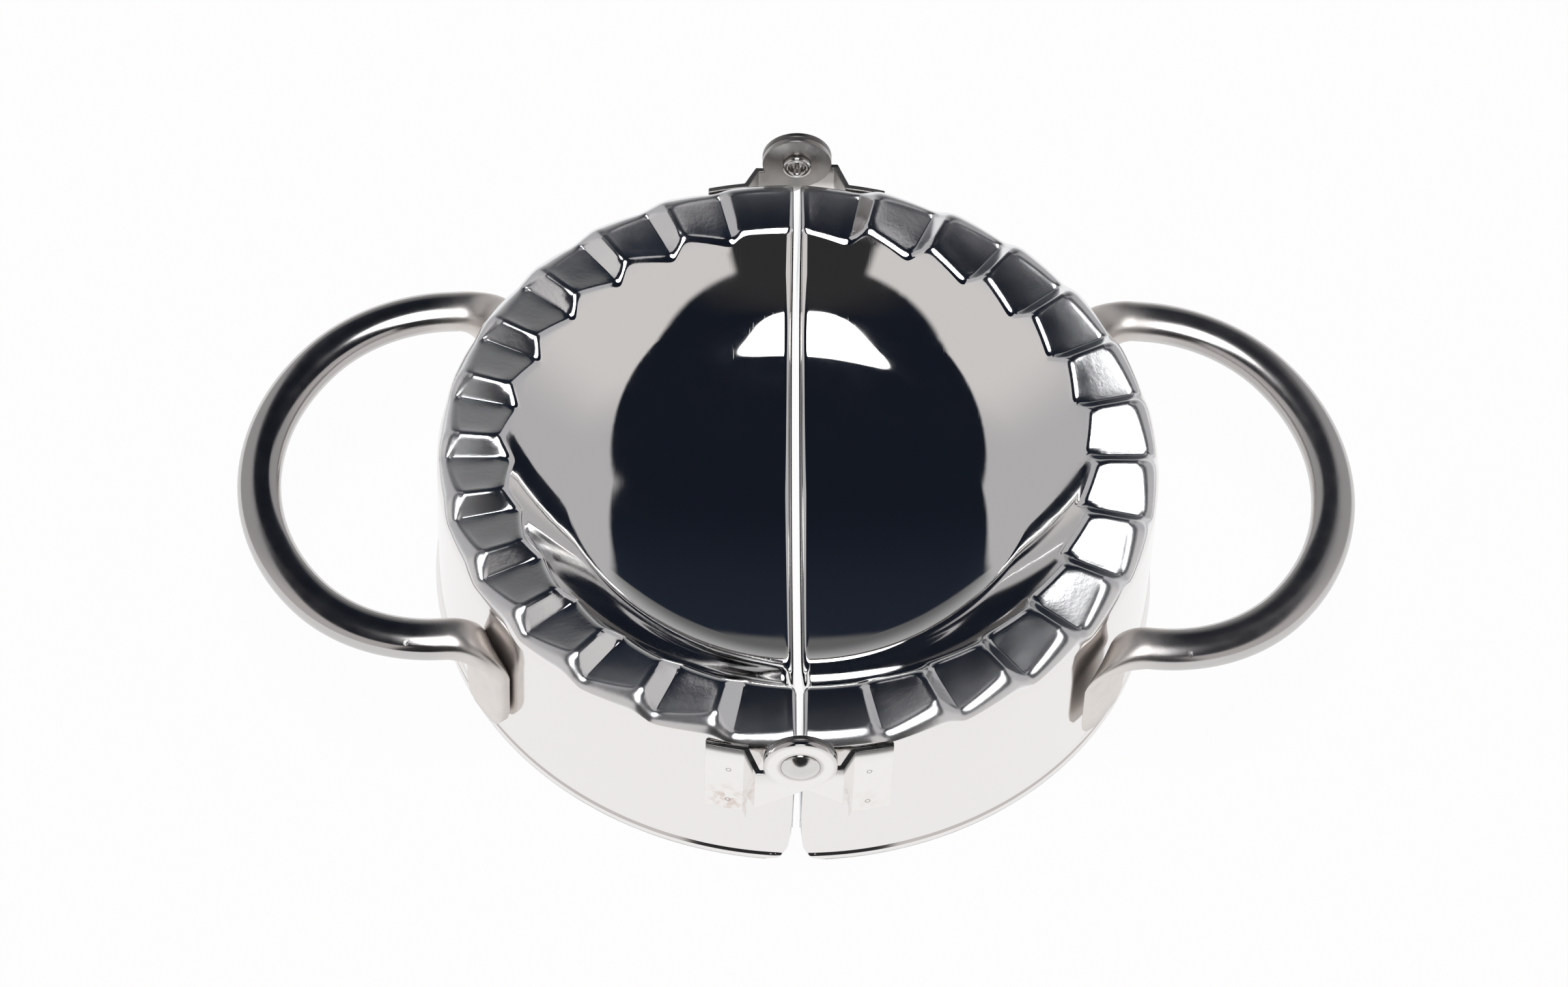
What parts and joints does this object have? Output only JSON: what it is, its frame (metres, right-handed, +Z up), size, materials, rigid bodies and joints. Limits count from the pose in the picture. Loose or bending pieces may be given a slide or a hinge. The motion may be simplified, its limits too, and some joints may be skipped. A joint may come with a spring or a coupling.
{
  "type": "empanada press",
  "caption": "Folding pastry press: half-round polished steel bowls with toothed rims, riveted hinge leaves on the seam and bowed tube handles, lying open.",
  "frame": {"origin": "centre of the rim circle, on the plane of the skirts' lower edges that the press rests on", "axes": "+X from the left handle to the right handle, +Y along the seam and hinge line to the rear hinge, +Z up out of the bowls"},
  "size_m": [0.1478, 0.1054, 0.03],
  "materials": {
    "shell_steel": "mirror-polished stainless sheet",
    "handle_steel": "satin stainless tube, faint heat tint at the elbows",
    "leaf_steel": "bright rolled stainless sheet with spot-weld marks",
    "rivet_steel": "satin stainless"
  },
  "bodies": {
    "left_half": {"left_shell": "shell_steel", "left_handle": "handle_steel", "front_left_hinge_leaf": "leaf_steel", "rear_left_hinge_leaf": "leaf_steel", "front_rivet": "rivet_steel", "rear_rivet": "rivet_steel"},
    "right_half": {"right_shell": "shell_steel", "right_handle": "handle_steel", "front_right_hinge_leaf": "leaf_steel", "rear_right_hinge_leaf": "leaf_steel"}
  },
  "joints": [
    {"name": "fold", "type": "hinge", "parent": "left_half", "child": "right_half", "pos_m": [0, 0, 0.02535], "axis": [0, -1, 0], "range_deg": [0, 180]}
  ]
}
